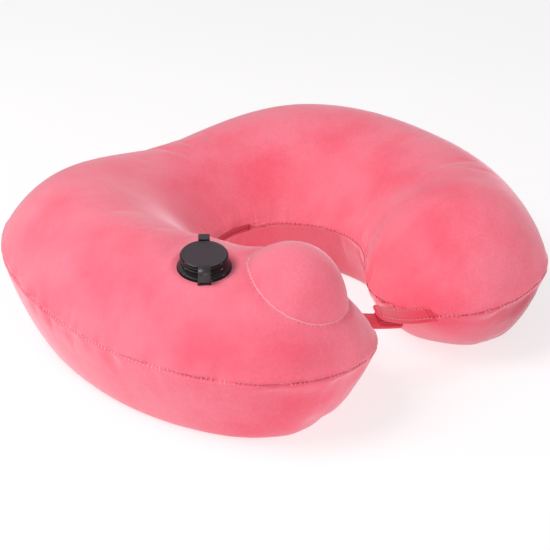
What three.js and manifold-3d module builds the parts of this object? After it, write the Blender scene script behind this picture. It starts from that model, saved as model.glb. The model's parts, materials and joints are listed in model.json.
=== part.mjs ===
// A U shaped travel neck pillow: an inflatable bladder in a zipped velour cover, with a press pump under a
// fabric dome on one arm, a two layer air valve beside it, and two short straps that close the open end.
// Millimetres, +Z up. The pillow lies flat with its closed back towards +Y and its open end towards -Y.
import * as THREE from 'three';
import { mergeVertices } from 'three/addons/utils/BufferGeometryUtils.js';
import Module from 'manifold-3d';

const wasm = await Module();
wasm.setup();

// ---- Driving dimensions --------------------------------------------------------------------------------

// Places round the pillow are angles about the neck circle: 0 is the back, positive turns towards +X.
// Lists of five hold a value at 0, 45, 90, 135 and 180 degrees from the back, the same on both arms.
const NECK_RADIUS = 51;
const NECK_CENTRE_Y = -13.4;
const HALF_WIDTH = [58.5, 69, 60.5, 61, 61];
const TOP_RISE = [41, 45, 52, 53, 62];
const SEAM_HEIGHT = 44.5;
const OUTER_SEAM_LIFT = [0, 15.5, 6.5, 4.5, 4.5];
const BELLY_DROP = 70;
const TIP_ROUNDING = 40;
const TOP_POWER = 2.6;
const BELLY_POWER = 3.2;
const TIP_POWER = 1.95;

// Each arm's tip: its angle from the back, and how far it bends in towards the neck. Arm A carries the pump.
// Arm B, on the +X side, reaches further round, and its tip is slimmer, with a lower seam.
const ARM_A = { tip: 167, inwards: 9, seamDip: 0, bellyDrop: 70 };
const ARM_B = { tip: 171, inwards: 20, seamDip: 7, bellyDrop: 54 };
const BELLY_CHANGE_FROM = 110;
const SEAM_DIP_FROM = 140;

const COVER_THICKNESS = 2;
const SEAM_GAP = 0.4;
const FILM_INSET = 5.5;
const FILM_THICKNESS = 1;
const CLEARANCE = 0.3;
const COVER_GRID = { steps: 36, columns: 12 };
const FILM_GRID = { steps: 28, columns: 8 };
const TIP_CROWDING = 0.3;
const ROUND = 24;
const THROUGH = 40;
const BITE = 0.5;

// The pump's axis leans out of the arm's shoulder, towards the arm's tip.
const PUMP_PLACE = [-73, -94, 86.7];
const PUMP_HEADING = -64.5;
const PUMP_LEAN = 32;
const DOME_RADIUS = 32.2;
const DOME_HEIGHT = 20;
const DOME_SKIRT = 12;
const DOME_GAP = 0.8;
const BULB_RADIUS = 27.4;
const BULB_HEIGHT = 15.2;
const BULB_THICKNESS = 1.5;
const WELL_RADIUS = 35;
const WELL_FLOOR = -31;
const WELL_LIP_RADIUS = 38.4;
const WELL_LIP_THICKNESS = 1.2;
const INTAKE = { bore: 2, radius: 4.1, collar: 7, low: 11.4, shoulder: 12.7, top: 15.3 };
const INTAKE_FLAP = { radius: 5, low: 10.4, high: 11.1 };
const OUTLET = { bore: 3, radius: 5.8, collar: 9, collarHeight: 1.3, depth: 5.8 };
const OUTLET_FLAP = { radius: 5.5, low: -6.9, high: -6.1 };
const FOAM_RADIUS = 25.5;
const FOAM_HEIGHT = 10;

// The valve's heading points at the side where its caps are tied on.
const VALVE_PLACE = [-114.5, -57, 96.6];
const VALVE_HEADING = -128;
const VALVE_LEAN = 9;
const FLANGE_RADIUS = 16.2;
const FLANGE_THICKNESS = 1.5;
const FLANGE_CHAMFER = 0.5;
const COLLAR_RADIUS = 14;
const COLLAR_TOP = 2.8;
const THROAT_RADIUS = 9.2;
const THROAT_BORE = 7.5;
const THROAT_DEPTH = 13;
const WELD_RING_RADIUS = 13.4;
const WELD_RING_THICKNESS = 1;
const WELD_REACH = 26;
const PLUG_RADIUS = 15;
const PLUG_BASE = 3.1;
const PLUG_TOP = 5.4;
const PLUG_DEPTH = 3;
const PLUG_CHAMFER = 0.6;
const PORT_RADIUS = 4.2;
const NOZZLE_WALL = 1.4;
const NOZZLE_HEIGHT = 0.9;
const MEMBRANE = { radius: 5.8, low: -4.1, high: -3.4 };
const CAP_RADIUS = 14.2;
const CAP_BASE = 6.7;
const CAP_TOP = 9.3;
const CAP_CHAMFER = 0.7;
const CAP_TETHER_LOW = 6.9;
const CAP_TETHER_HIGH = 8.8;
const BOSS_DEPTH = 2.3;
const TETHER_REACH = 17;
const TETHER_WIDTH = 7;
const TETHER_THICKNESS = 1.6;
const LUG_WIDTH = 8;
const SEAT_MARGIN = 2;
const TAB = { from: -18.5, to: -12.5, width: 6.8, below: 1, above: 1.4 };

// The straps lie one over the other across the open end, from arm to arm.
const STRAP_PLACE = [-1, -106.5, 43.5];
const STRAP_HEADING = -15;
const STRAP_PITCH = 13;
const STRAP_ROLL = 18;
const STRAP_WIDTH = 12;
const STRAP_THICKNESS = 2;
const STRAP_A_ROOT = -25.5;
const STRAP_A_END = 3;
const STRAP_B_ROOT = 27;
const STRAP_B_END = -19;
const PATCH_LENGTH = 15;
const PATCH_THICKNESS = 0.9;
const PATCH_MARGIN = 1.5;
const PATCH_GAP = 0.4;
const ROOT_GAP = 1.2;

// The zip follows the neck seam round the wearer's side of arm A.
const ZIP_FROM = -95;
const ZIP_TO = 11;
const ZIP_INNER = 51.2;
const ZIP_OUTER = 52.6;
const ZIP_HALF_HEIGHT = 2.1;
const ZIP_SLOT_HALF = 3.6;
const ZIP_SLOT_DEPTH = 6;
const ZIP_SLOT_PAST = 2;
const ZIP_STOP_SPAN = 1.6;
const TEETH_GAP = 0.3;
const TAPE_THICKNESS = 0.7;
const UPPER_TAPE_ACROSS = [-1, -0.985, -0.965, -0.94];
const LOWER_TAPE_ACROSS = [-1, -0.99, -0.98, -0.965];
const END_TAB_SPAN = 11.7;
const END_TAB_ACROSS = [-0.985, -0.993, 1, 0.985, 0.965, 0.95];
const END_TAB_OUTER = -1.6;
const END_TAB_INNER = -0.7;
const SLIDER_ANGLE = -88;
const SLIDER_SPAN = 8;
const SLIDER_PLATE = 1.6;
const SLIDER_HALF_HEIGHT = 3.2;
const SLIDER_CHEEK = 0.8;
const SLIDER_CLEARANCE = 0.4;
const BRIDGE = { forward: 1.5, halfWidth: 1.2, halfHeight: 1.5, eye: 1 };
const PULLER_PIN_RADIUS = 47;
const PULLER = { pin: 0.6, halfWidth: 3.4, arm: 1, armLow: -5.5, plateHigh: -5, plateLow: -16 };

// ---- Materials -----------------------------------------------------------------------------------------

function finish(color, roughness, metalness = 0) {
  return new THREE.MeshStandardMaterial({ color, roughness, metalness });
}

const VELOUR = [0xff8296, 0.95];
const FILM = [0xd8dde2, 0.35];
const BLACK_TPU = [0x2b282b, 0.4];
const FOAM = [0xe9e3c8, 1];
const SILICONE = [0xe8ecee, 0.5];
const ZIP_TAPE = [0xf46e84, 0.9];
const ZIP_COIL = [0xe85f76, 0.5];
const SLIDER_METAL = [0xb9b9bd, 0.35, 1];

// ---- Solids --------------------------------------------------------------------------------------------

function signedVolume(position, index) {
  const [a, b, c] = [new THREE.Vector3(), new THREE.Vector3(), new THREE.Vector3()];
  let volume = 0;
  for (let i = 0; i < index.length; i += 3) {
    a.fromBufferAttribute(position, index[i]);
    b.fromBufferAttribute(position, index[i + 1]);
    c.fromBufferAttribute(position, index[i + 2]);
    volume += a.dot(b.cross(c)) / 6;
  }
  return volume;
}

// Shares the vertices of a closed geometry, drops its collapsed triangles and turns its faces outwards.
function closed(geometry) {
  const bare = geometry.clone();
  for (const name of Object.keys(bare.attributes)) {
    if (name !== 'position') bare.deleteAttribute(name);
  }
  const shared = mergeVertices(bare, 1e-4);
  const index = [];
  for (let i = 0; i < shared.index.count; i += 3) {
    const [a, b, c] = [0, 1, 2].map((k) => shared.index.getX(i + k));
    if (a !== b && b !== c && c !== a) index.push(a, b, c);
  }
  if (signedVolume(shared.attributes.position, index) < 0) index.reverse();
  shared.setIndex(index);
  return shared;
}

function solid(geometry) {
  const body = closed(geometry);
  return new wasm.Manifold(new wasm.Mesh({
    numProp: 3,
    vertProperties: new Float32Array(body.attributes.position.array),
    triVerts: new Uint32Array(body.index.array),
  }));
}

function geometryOf(manifold) {
  const mesh = manifold.getMesh();
  const geometry = new THREE.BufferGeometry();
  geometry.setAttribute('position', new THREE.Float32BufferAttribute(mesh.vertProperties, 3));
  geometry.setIndex(Array.from(mesh.triVerts));
  return geometry;
}

const joined = (...geometries) => geometryOf(geometries.map(solid).reduce((all, one) => all.add(one)));

// A body of revolution about Z, from [radius, height] points that close on themselves or end on the axis.
function lathe(points, segments = ROUND) {
  const profile = points.map(([radius, height]) => new THREE.Vector2(radius, height));
  return new THREE.LatheGeometry(profile, segments).rotateX(Math.PI / 2);
}

const disc = (radius, low, high) => lathe([[0, low], [radius, low], [radius, high], [0, high]]);

const ring = (bore, radius, low, high) => (
  lathe([[bore, low], [radius, low], [radius, high], [bore, high], [bore, low]])
);

function box(low, high) {
  const size = high.map((value, axis) => value - low[axis]);
  const middle = high.map((value, axis) => (value + low[axis]) / 2);
  return new THREE.BoxGeometry(...size).translate(...middle);
}

// A flat band bent round the neck circle.
function arcBand(inner, outer, low, high, from, to, curveSegments = 18) {
  const [start, end] = [90 - to, 90 - from].map(THREE.MathUtils.degToRad);
  const shape = new THREE.Shape();
  shape.absarc(0, 0, outer, start, end, false);
  shape.absarc(0, 0, inner, end, start, true);
  const options = { depth: high - low, bevelEnabled: false, curveSegments };
  return new THREE.ExtrudeGeometry(shape, options).translate(0, 0, low);
}

// ---- The pillow's surface ------------------------------------------------------------------------------

// A smooth curve through the five stations, level at both ends.
function along(values, angle) {
  const place = Math.min(angle / 45, 3.999);
  const i = Math.floor(place);
  const t = place - i;
  const slope = (k) => (k === 0 || k === 4 ? 0 : (values[k + 1] - values[k - 1]) / 2);
  return values[i] * (2 * t ** 3 - 3 * t ** 2 + 1) + values[i + 1] * (3 * t ** 2 - 2 * t ** 3)
    + slope(i) * (t ** 3 - 2 * t ** 2 + t) + slope(i + 1) * (t ** 3 - t ** 2);
}

const armAt = (angle) => (angle < 0 ? ARM_A : ARM_B);

function tipAngle(arm, inset) {
  return arm.tip - THREE.MathUtils.radToDeg(inset / (NECK_RADIUS + HALF_WIDTH[4] - arm.inwards));
}

// A point of the skin, or of a layer that lies inset below it. across runs from -1 at the neck seam to 1 at
// the outer seam, and side is 1 on the top and -1 on the underside, which is flat where the pillow rests.
function skinPoint(angle, across, side, inset, lift = 0) {
  const turn = Math.abs(angle);
  const arm = armAt(angle);
  const width = along(HALF_WIDTH, turn);
  const taper = THREE.MathUtils.clamp(1 - (tipAngle(arm, inset) - turn) / TIP_ROUNDING, 0, 1);
  const narrowing = Math.sqrt(1 - taper * taper);
  const flattening = 1 - taper ** TIP_POWER;
  const middle = NECK_RADIUS + width - arm.inwards * taper * taper;
  const radius = middle + (width - inset) * narrowing * across;
  const outerLift = along(OUTER_SEAM_LIFT, turn) * narrowing * (across + 1) / 2;
  const dip = arm.seamDip * THREE.MathUtils.smoothstep(turn, SEAM_DIP_FROM, arm.tip);
  const seam = SEAM_HEIGHT + outerLift - dip + lift;
  const change = (arm.bellyDrop - BELLY_DROP) * THREE.MathUtils.smoothstep(turn, BELLY_CHANGE_FROM, arm.tip);
  const rise = (along(TOP_RISE, turn) - inset) * flattening * (1 - Math.abs(across) ** TOP_POWER);
  const drop = (BELLY_DROP + change - inset) * flattening * (1 - Math.abs(across) ** BELLY_POWER);
  const height = side > 0 ? seam + rise : Math.max(seam - drop, inset);
  const theta = THREE.MathUtils.degToRad(angle);
  return [radius * Math.sin(theta), radius * Math.cos(theta), height];
}

// The triangles of a grid of points: rows of columns.
function gridFaces(rows, offset, index) {
  const columns = rows[0].length;
  for (let i = 0; i + 1 < rows.length; i += 1) {
    for (let j = 0; j + 1 < columns; j += 1) {
      const a = offset + i * columns + j;
      const b = a + columns;
      index.push(a, b, b + 1, a, b + 1, a + 1);
    }
  }
}

// The geometry of several grids that share their borders.
function gridsGeometry(grids) {
  const positions = [];
  const index = [];
  for (const rows of grids) {
    gridFaces(rows, positions.length / 3, index);
    positions.push(...rows.flat(2));
  }
  const geometry = new THREE.BufferGeometry();
  geometry.setAttribute('position', new THREE.Float32BufferAttribute(positions, 3));
  geometry.setIndex(index);
  return closed(geometry);
}

// Evenly spaced values from one number to another, both of them included.
function spread(count, from, to) {
  return Array.from({ length: count + 1 }, (_, i) => from + (to - from) * i / count);
}

// The closed layer between two grids of points, with rim strips that join their four borders.
function layer(outerRows, innerRows) {
  const rim = (pick) => [outerRows, innerRows].map(pick);
  const last = outerRows.length - 1;
  return gridsGeometry([
    outerRows,
    innerRows.map((row) => [...row].reverse()),
    rim((rows) => rows.map((row) => row[0])),
    rim((rows) => rows.map((row) => row.at(-1)).reverse()),
    rim((rows) => [...rows[0]].reverse()),
    rim((rows) => rows[last]),
  ]);
}

// across values that crowd together towards the two seams.
const seamToSeam = (columns) => spread(columns, -90, 90).map((a) => Math.sin(THREE.MathUtils.degToRad(a)));

function skinRows(grid, side, inset, lift = 0) {
  const crowded = (place) => place * (1 + TIP_CROWDING * (1 - place * place));
  const angles = spread(grid.steps, -1, 1).map((place) => tipAngle(armAt(place), inset) * crowded(place));
  return angles.map((angle) => seamToSeam(grid.columns).map((u) => skinPoint(angle, u, side, inset, lift)));
}

function halfShell(grid, side, inset, thickness) {
  const lift = side * SEAM_GAP / 2;
  return layer(skinRows(grid, side, inset, lift), skinRows(grid, side, inset + thickness, lift));
}

// Everything that lies deeper than inset, as one solid.
function inside(grid, inset) {
  const underside = skinRows(grid, -1, inset).map((row) => [...row].reverse());
  return solid(gridsGeometry([skinRows(grid, 1, inset), underside]));
}

// A strip of a layer along the neck seam.
function seamStrip(side, outer, inner, from, to, acrossValues, lift = 0) {
  const rows = (inset) => spread(12, from, to).map(
    (angle) => acrossValues.map((u) => skinPoint(angle, u, side, inset, lift)),
  );
  return layer(rows(outer), rows(inner));
}

// ---- Placed frames -------------------------------------------------------------------------------------

// A group at a place on the pillow, turned to a heading, leant over towards it and rolled about it.
function placed(place, heading, lean, roll = 0) {
  const group = new THREE.Group();
  group.position.set(...place);
  group.rotation.set(...[roll, lean, heading].map(THREE.MathUtils.degToRad), 'ZYX');
  group.updateMatrix();
  return group;
}

const pillow = new THREE.Group();
pillow.position.y = NECK_CENTRE_Y;
const pump = placed(PUMP_PLACE, PUMP_HEADING, PUMP_LEAN);
const valve = placed(VALVE_PLACE, VALVE_HEADING, VALVE_LEAN);
const straps = placed(STRAP_PLACE, STRAP_HEADING, STRAP_PITCH, STRAP_ROLL);
pillow.add(pump, valve, straps);

const at = (group, geometry) => solid(geometry.applyMatrix4(group.matrix));

function add(group, name, geometry, look) {
  const mesh = new THREE.Mesh(closed(geometry), finish(...look));
  mesh.name = name;
  group.add(mesh);
}

// ---- Cover and bladder ---------------------------------------------------------------------------------

const zipSlot = solid(arcBand(
  NECK_RADIUS - ZIP_SLOT_DEPTH,
  NECK_RADIUS + ZIP_SLOT_DEPTH,
  SEAM_HEIGHT - ZIP_SLOT_HALF,
  SEAM_HEIGHT + ZIP_SLOT_HALF,
  ZIP_FROM - ZIP_SLOT_PAST,
  ZIP_TO + ZIP_SLOT_PAST,
));

function makeCover() {
  const domeHole = at(pump, disc(DOME_RADIUS + DOME_GAP, -THROUGH, THROUGH));
  const throatHole = at(valve, disc(THROAT_RADIUS + CLEARANCE, -THROUGH / 2, THROUGH / 2));
  const flangeSeat = at(valve, disc(TETHER_REACH + SEAT_MARGIN, -CLEARANCE, THROUGH / 2));
  const top = solid(halfShell(COVER_GRID, 1, 0, COVER_THICKNESS))
    .subtract(domeHole)
    .subtract(throatHole)
    .subtract(flangeSeat)
    .subtract(zipSlot);
  const bottom = solid(halfShell(COVER_GRID, -1, 0, COVER_THICKNESS)).subtract(zipSlot);
  add(pillow, 'cover_top', geometryOf(top), VELOUR);
  add(pillow, 'cover_bottom', geometryOf(bottom), VELOUR);
}

function makeBladder() {
  const wellHole = at(pump, disc(WELL_RADIUS + 1, 1 + WELL_FLOOR, THROUGH));
  const throatHole = at(valve, disc(THROAT_RADIUS + CLEARANCE, -THROUGH / 2, THROUGH / 2));
  const upper = solid(halfShell(FILM_GRID, 1, FILM_INSET, FILM_THICKNESS))
    .subtract(wellHole)
    .subtract(throatHole);
  add(pillow, 'bladder_upper_film', geometryOf(upper), FILM);
  add(pillow, 'bladder_lower_film', halfShell(FILM_GRID, -1, FILM_INSET, FILM_THICKNESS), FILM);
}

// A washer that hugs the inner face of the bladder's film round a fitting, where they are welded together.
function weldedWasher(group, bore, radius, thickness) {
  const face = FILM_INSET + FILM_THICKNESS + CLEARANCE;
  return at(group, ring(bore, radius, -WELD_REACH, WELD_REACH / 2))
    .intersect(inside(FILM_GRID, face))
    .subtract(inside(FILM_GRID, face + thickness));
}

// ---- Pump ----------------------------------------------------------------------------------------------

// A quarter of an ellipse from the rim up to a radius near the axis.
function domeProfile(radius, height, toRadius = 0) {
  const last = Math.acos(toRadius / radius);
  return spread(6, 0, last).map((a) => [radius * Math.cos(a), height * Math.sin(a)]);
}

function domeShell(radius, height, thickness, hole) {
  const outer = domeProfile(radius, height, hole);
  const inner = domeProfile(radius - thickness, height - thickness, hole).reverse();
  const skirt = [[radius - thickness, -DOME_SKIRT], [radius, -DOME_SKIRT]];
  const points = [...outer, ...inner, ...skirt];
  return lathe([...points, points[0]]);
}

function makePumpButton() {
  const bulbHole = INTAKE.radius + CLEARANCE;
  const fabric = lathe([
    ...domeProfile(DOME_RADIUS - COVER_THICKNESS, DOME_HEIGHT - COVER_THICKNESS).reverse(),
    [DOME_RADIUS - COVER_THICKNESS, -DOME_SKIRT],
    [DOME_RADIUS, -DOME_SKIRT],
    ...domeProfile(DOME_RADIUS, DOME_HEIGHT),
  ]);
  add(pump, 'pump_cover', fabric, VELOUR);
  add(pump, 'pump_bulb', domeShell(BULB_RADIUS, BULB_HEIGHT, BULB_THICKNESS, bulbHole), FILM);
  const seat = lathe([
    [INTAKE.bore, INTAKE.low],
    [INTAKE.collar, INTAKE.low],
    [INTAKE.collar, INTAKE.shoulder],
    [INTAKE.radius, INTAKE.shoulder],
    [INTAKE.radius, INTAKE.top],
    [INTAKE.bore, INTAKE.top],
    [INTAKE.bore, INTAKE.low],
  ]);
  add(pump, 'pump_intake_valve', seat, BLACK_TPU);
  add(pump, 'pump_intake_flap', disc(INTAKE_FLAP.radius, INTAKE_FLAP.low, INTAKE_FLAP.high), SILICONE);
}

function makePumpWell() {
  const floorTop = WELL_FLOOR + BULB_THICKNESS;
  const wall = at(pump, ring(WELL_RADIUS - BULB_THICKNESS, WELL_RADIUS, WELL_FLOOR, THROUGH));
  const floor = at(pump, ring(OUTLET.radius + CLEARANCE, WELL_RADIUS, WELL_FLOOR, floorTop));
  const body = wall
    .intersect(inside(COVER_GRID, COVER_THICKNESS + 2 * CLEARANCE))
    .add(floor)
    .add(weldedWasher(pump, WELL_RADIUS - WELL_LIP_THICKNESS / 2, WELL_LIP_RADIUS, WELL_LIP_THICKNESS));
  add(pillow, 'pump_well', geometryOf(body), FILM);
  makePumpOutlet(floorTop + CLEARANCE);
}

// The one way valve in the well's floor, with the spring foam that stands on its shoulder.
function makePumpOutlet(shoulder) {
  const [low, high] = [shoulder - OUTLET.depth, shoulder + OUTLET.collarHeight];
  const outlet = lathe([
    [OUTLET.bore, high],
    [OUTLET.bore, low],
    [OUTLET.radius, low],
    [OUTLET.radius, shoulder],
    [OUTLET.collar, shoulder],
    [OUTLET.collar, high],
    [OUTLET.bore, high],
  ]);
  const flap = disc(OUTLET_FLAP.radius, shoulder + OUTLET_FLAP.low, shoulder + OUTLET_FLAP.high);
  const foot = high + CLEARANCE;
  const foam = lathe([[0, foot], [FOAM_RADIUS, foot], ...domeProfile(FOAM_RADIUS, FOAM_HEIGHT)]);
  add(pump, 'pump_outlet_valve', outlet, BLACK_TPU);
  add(pump, 'pump_outlet_flap', flap, SILICONE);
  add(pump, 'pump_foam', foam, FOAM);
}

// ---- Valve ---------------------------------------------------------------------------------------------

// A box centred on Y = 0.
const bar = (from, to, width, low, high) => box([from, -width / 2, low], [to, width / 2, high]);

// A strap from a cap's edge out to its hinge line. It ends in a round bead that turns just above the floor
// that it bends on.
function tether(from, low, high, floor) {
  const half = TETHER_THICKNESS / 2;
  const pivot = floor + CLEARANCE + half;
  const bead = new THREE.CylinderGeometry(half, half, TETHER_WIDTH, 16).translate(TETHER_REACH, 0, pivot);
  return [
    bar(from, TETHER_REACH + half, TETHER_WIDTH, low, high),
    bar(TETHER_REACH - half, TETHER_REACH + half, TETHER_WIDTH, pivot, high),
    bead,
  ];
}

function makeValve() {
  const throat = lathe([
    [THROAT_BORE, -THROAT_DEPTH],
    [THROAT_RADIUS, -THROAT_DEPTH],
    [THROAT_RADIUS, 0],
    [FLANGE_RADIUS, 0],
    [FLANGE_RADIUS, FLANGE_THICKNESS - FLANGE_CHAMFER],
    [FLANGE_RADIUS - FLANGE_CHAMFER, FLANGE_THICKNESS],
    [COLLAR_RADIUS, FLANGE_THICKNESS],
    [COLLAR_RADIUS, COLLAR_TOP],
    [THROAT_BORE, COLLAR_TOP],
    [THROAT_BORE, -THROAT_DEPTH],
  ]);
  const lug = bar(COLLAR_RADIUS + BITE, TETHER_REACH + TETHER_THICKNESS, LUG_WIDTH, 0, FLANGE_THICKNESS);
  const washer = weldedWasher(valve, THROAT_RADIUS + CLEARANCE, WELD_RING_RADIUS, WELD_RING_THICKNESS);
  add(valve, 'valve_flange', joined(throat, lug), BLACK_TPU);
  add(pillow, 'valve_weld_ring', geometryOf(washer), FILM);
  makeValvePlug();
  makeValveCap();
}

// The middle layer: it stops the throat, and its port is the one that is blown into.
function makeValvePlug() {
  const spigot = THROAT_BORE - CLEARANCE;
  const nozzle = PORT_RADIUS + NOZZLE_WALL;
  const body = lathe([
    [PORT_RADIUS, -PLUG_DEPTH],
    [spigot - PLUG_CHAMFER, -PLUG_DEPTH],
    [spigot, 0],
    [spigot, PLUG_BASE],
    [PLUG_RADIUS, PLUG_BASE],
    [PLUG_RADIUS, PLUG_TOP - PLUG_CHAMFER],
    [PLUG_RADIUS - PLUG_CHAMFER, PLUG_TOP],
    [nozzle, PLUG_TOP],
    [nozzle, PLUG_TOP + NOZZLE_HEIGHT],
    [PORT_RADIUS, PLUG_TOP + NOZZLE_HEIGHT],
    [PORT_RADIUS, -PLUG_DEPTH],
  ]);
  const strap = tether(PLUG_RADIUS - BITE, PLUG_BASE, PLUG_BASE + TETHER_THICKNESS, FLANGE_THICKNESS);
  add(valve, 'valve_plug', joined(body, ...strap), BLACK_TPU);
  add(valve, 'valve_membrane', disc(MEMBRANE.radius, MEMBRANE.low, MEMBRANE.high), SILICONE);
}

function makeValveCap() {
  const boss = PORT_RADIUS - CLEARANCE;
  const body = lathe([
    [0, CAP_BASE - BOSS_DEPTH],
    [boss, CAP_BASE - BOSS_DEPTH],
    [boss, CAP_BASE],
    [CAP_RADIUS, CAP_BASE],
    [CAP_RADIUS, CAP_TOP - CAP_CHAMFER],
    [CAP_RADIUS - CAP_CHAMFER, CAP_TOP],
    [0, CAP_TOP],
  ]);
  const strap = tether(CAP_RADIUS - BITE, CAP_TETHER_LOW, CAP_TETHER_HIGH, PLUG_BASE + TETHER_THICKNESS);
  const tab = bar(TAB.from, TAB.to, TAB.width, CAP_TOP - TAB.below, CAP_TOP + TAB.above);
  add(valve, 'valve_cap', joined(body, ...strap, tab), BLACK_TPU);
}

// ---- Straps --------------------------------------------------------------------------------------------

// A flat strip with one round end, from its root to its free end along X.
function strip(root, end, width, low, high) {
  const half = width / 2;
  const side = Math.sign(end - root);
  const shape = new THREE.Shape();
  shape.moveTo(root, -side * half);
  shape.lineTo(end - side * half, -side * half);
  shape.absarc(end - side * half, 0, half, -side * Math.PI / 2, Math.PI - side * Math.PI / 2, false);
  shape.lineTo(root, side * half);
  const options = { depth: high - low, bevelEnabled: false, curveSegments: 10 };
  return new THREE.ExtrudeGeometry(shape, options).translate(0, 0, low);
}

function makeStraps() {
  const clear = inside(COVER_GRID, -ROOT_GAP);
  const level = PATCH_GAP / 2 + PATCH_THICKNESS + CLEARANCE;
  const under = at(straps, strip(STRAP_A_ROOT, STRAP_A_END, STRAP_WIDTH, -level - STRAP_THICKNESS, -level));
  const over = at(straps, strip(STRAP_B_ROOT, STRAP_B_END, STRAP_WIDTH, level, level + STRAP_THICKNESS));
  add(pillow, 'strap_a', geometryOf(under.subtract(clear)), VELOUR);
  add(pillow, 'strap_b', geometryOf(over.subtract(clear)), VELOUR);
  const middle = (STRAP_A_END + STRAP_B_END) / 2;
  const [from, to] = [middle - PATCH_LENGTH / 2, middle + PATCH_LENGTH / 2];
  const width = STRAP_WIDTH - 2 * PATCH_MARGIN;
  const [near, far] = [PATCH_GAP / 2, PATCH_GAP / 2 + PATCH_THICKNESS];
  add(straps, 'loop_patch', bar(from, to, width, -far, -near), ZIP_TAPE);
  add(straps, 'hook_patch', bar(from, to, width, near, far), ZIP_TAPE);
}

// ---- Zip -----------------------------------------------------------------------------------------------

const zipBand = (low, high, from, to, curveSegments) => (
  arcBand(ZIP_INNER, ZIP_OUTER, SEAM_HEIGHT + low, SEAM_HEIGHT + high, from, to, curveSegments)
);

const zipStop = (from) => zipBand(-ZIP_HALF_HEIGHT, ZIP_HALF_HEIGHT, from, from + ZIP_STOP_SPAN, 1);

function zipTape(side, acrossValues) {
  const behind = COVER_THICKNESS + 2 * CLEARANCE;
  return seamStrip(side, behind, behind + TAPE_THICKNESS, ZIP_FROM, ZIP_TO, acrossValues, side * CLEARANCE);
}

function makeZipChain() {
  const [from, to] = [ZIP_FROM + ZIP_SLOT_PAST, ZIP_TO - ZIP_SLOT_PAST];
  const near = TEETH_GAP / 2;
  add(pillow, 'zip_tape_upper', zipTape(1, UPPER_TAPE_ACROSS), ZIP_TAPE);
  add(pillow, 'zip_tape_lower', zipTape(-1, LOWER_TAPE_ACROSS), ZIP_TAPE);
  add(pillow, 'zip_teeth_upper', zipBand(near, ZIP_HALF_HEIGHT, from, to), ZIP_COIL);
  add(pillow, 'zip_teeth_lower', zipBand(-ZIP_HALF_HEIGHT, -near, from, to), ZIP_COIL);
  add(pillow, 'zip_top_stop', zipStop(ZIP_FROM), SLIDER_METAL);
  add(pillow, 'zip_bottom_stop', zipStop(ZIP_TO - ZIP_STOP_SPAN), SLIDER_METAL);
}

// A sewn patch that covers the end of the zip.
function makeZipEndTab() {
  const from = ZIP_TO + CLEARANCE;
  const rows = (inset) => spread(6, from, from + END_TAB_SPAN).map((angle) => END_TAB_ACROSS.map((value) => (
    skinPoint(angle, -Math.abs(value), Math.sign(value), inset)
  )));
  add(pillow, 'zip_end_tab', layer(rows(END_TAB_OUTER), rows(END_TAB_INNER)), VELOUR);
}

// A round pin through the slider's bridge, along the zip.
function tangentPin(radius, length) {
  return new THREE.CylinderGeometry(radius, radius, length, 12).translate(PULLER_PIN_RADIUS, 0, 0);
}

function makeZipSlider() {
  const [from, to] = [SLIDER_ANGLE - SLIDER_SPAN / 2, SLIDER_ANGLE + SLIDER_SPAN / 2];
  const face = ZIP_INNER - SLIDER_CLEARANCE;
  const piece = (inner, outer, low, high) => (
    solid(arcBand(inner, outer, SEAM_HEIGHT + low, SEAM_HEIGHT + high, from, to, 4))
  );
  const inner = SLIDER_HALF_HEIGHT - SLIDER_CHEEK;
  const slider = new THREE.Group();
  slider.position.z = SEAM_HEIGHT;
  slider.rotation.z = THREE.MathUtils.degToRad(90 - SLIDER_ANGLE);
  slider.updateMatrix();
  pillow.add(slider);
  const [back, front] = [PULLER_PIN_RADIUS - BRIDGE.forward, face - SLIDER_PLATE / 2];
  const bridge = bar(back, front, 2 * BRIDGE.halfWidth, -BRIDGE.halfHeight, BRIDGE.halfHeight);
  const body = piece(face - SLIDER_PLATE, face, -SLIDER_HALF_HEIGHT, SLIDER_HALF_HEIGHT)
    .add(piece(face - BITE, ZIP_OUTER, inner, SLIDER_HALF_HEIGHT))
    .add(piece(face - BITE, ZIP_OUTER, -SLIDER_HALF_HEIGHT, -inner))
    .add(at(slider, bridge))
    .subtract(at(slider, tangentPin(BRIDGE.eye, 2 * SLIDER_HALF_HEIGHT)));
  add(pillow, 'zip_slider', geometryOf(body), SLIDER_METAL);
  makeZipPuller(slider);
}

// A plate that hangs on two arms from the pin.
function makeZipPuller(slider) {
  const [back, front] = [PULLER_PIN_RADIUS - PULLER.pin, PULLER_PIN_RADIUS + PULLER.pin];
  const width = 2 * PULLER.halfWidth;
  const armAt = PULLER.halfWidth - PULLER.arm / 2;
  const arms = [-armAt, armAt].map((y) => (
    bar(back, front, PULLER.arm, PULLER.armLow, PULLER.pin).translate(0, y, 0)
  ));
  const plate = bar(back, front, width, PULLER.plateLow, PULLER.plateHigh);
  const pin = tangentPin(PULLER.pin, width - PULLER.arm);
  add(slider, 'zip_puller', joined(pin, ...arms, plate), SLIDER_METAL);
}

makeCover();
makeBladder();
makePumpButton();
makePumpWell();
makeValve();
makeStraps();
makeZipChain();
makeZipEndTab();
makeZipSlider();

export default pillow;
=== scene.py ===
"""The looks of the u shaped travel neck pillow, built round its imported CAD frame. Metres, +Z up."""
import json
import math

import bmesh
import bpy
import numpy as np
from mathutils import Matrix, Vector
from mathutils.bvhtree import BVHTree
from mathutils.kdtree import KDTree


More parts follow.
